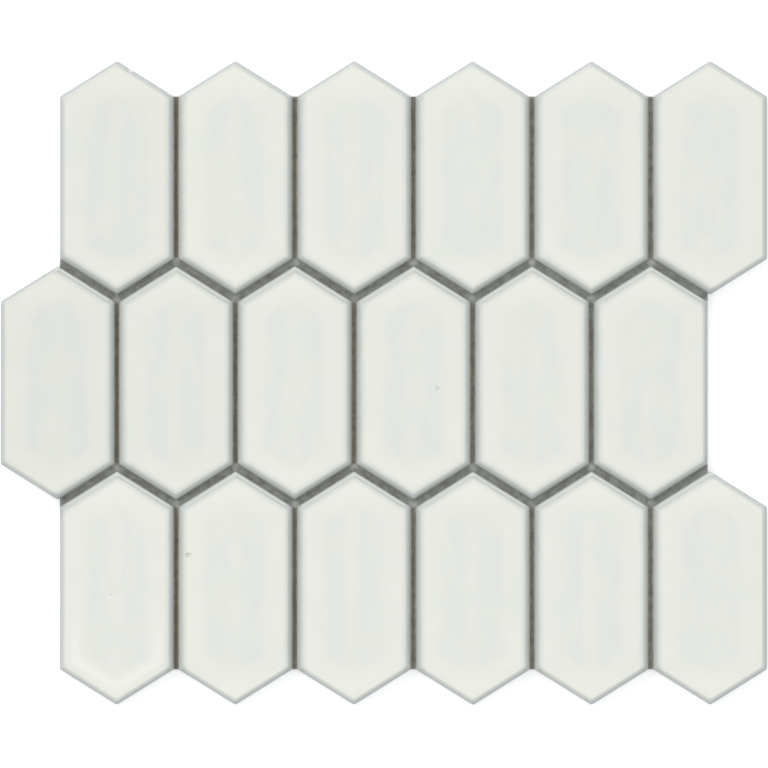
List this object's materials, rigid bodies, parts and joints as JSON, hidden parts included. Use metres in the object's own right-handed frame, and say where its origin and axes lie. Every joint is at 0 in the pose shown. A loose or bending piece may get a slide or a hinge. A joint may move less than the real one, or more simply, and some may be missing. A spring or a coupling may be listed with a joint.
{
  "type": "picket mosaic tile sheet",
  "caption": "Flat mosaic sheet of long hexagonal glazed tiles in staggered rows with filled joints on a backing net, for cladding walls and floors.",
  "frame": {"origin": "middle of the sheet's bounding box, on the surface that its backing net lies on", "axes": "+X along the rows, towards the side where the outer rows stand out; +Y across the rows, along each tile's length; +Z out of the glazed faces"},
  "size_m": [0.3114, 0.2612, 0.008],
  "materials": {
    "glazed_tile": "glossy warm white glaze, thinner and cooler along the rounded edges",
    "grout": "matt sandy grey cement grout",
    "net": "matt woven glass fibre net with dots of adhesive"
  },
  "bodies": {
    "root": {"tile_row1_1": "glazed_tile", "tile_row1_2": "glazed_tile", "tile_row1_3": "glazed_tile", "tile_row1_4": "glazed_tile", "tile_row1_5": "glazed_tile", "tile_row1_6": "glazed_tile", "tile_row2_1": "glazed_tile", "tile_row2_2": "glazed_tile", "tile_row2_3": "glazed_tile", "tile_row2_4": "glazed_tile", "tile_row2_5": "glazed_tile", "tile_row2_6": "glazed_tile", "tile_row3_1": "glazed_tile", "tile_row3_2": "glazed_tile", "tile_row3_3": "glazed_tile", "tile_row3_4": "glazed_tile", "tile_row3_5": "glazed_tile", "tile_row3_6": "glazed_tile", "joint_grout": "grout", "backing_net": "net"}
  },
  "joints": []
}
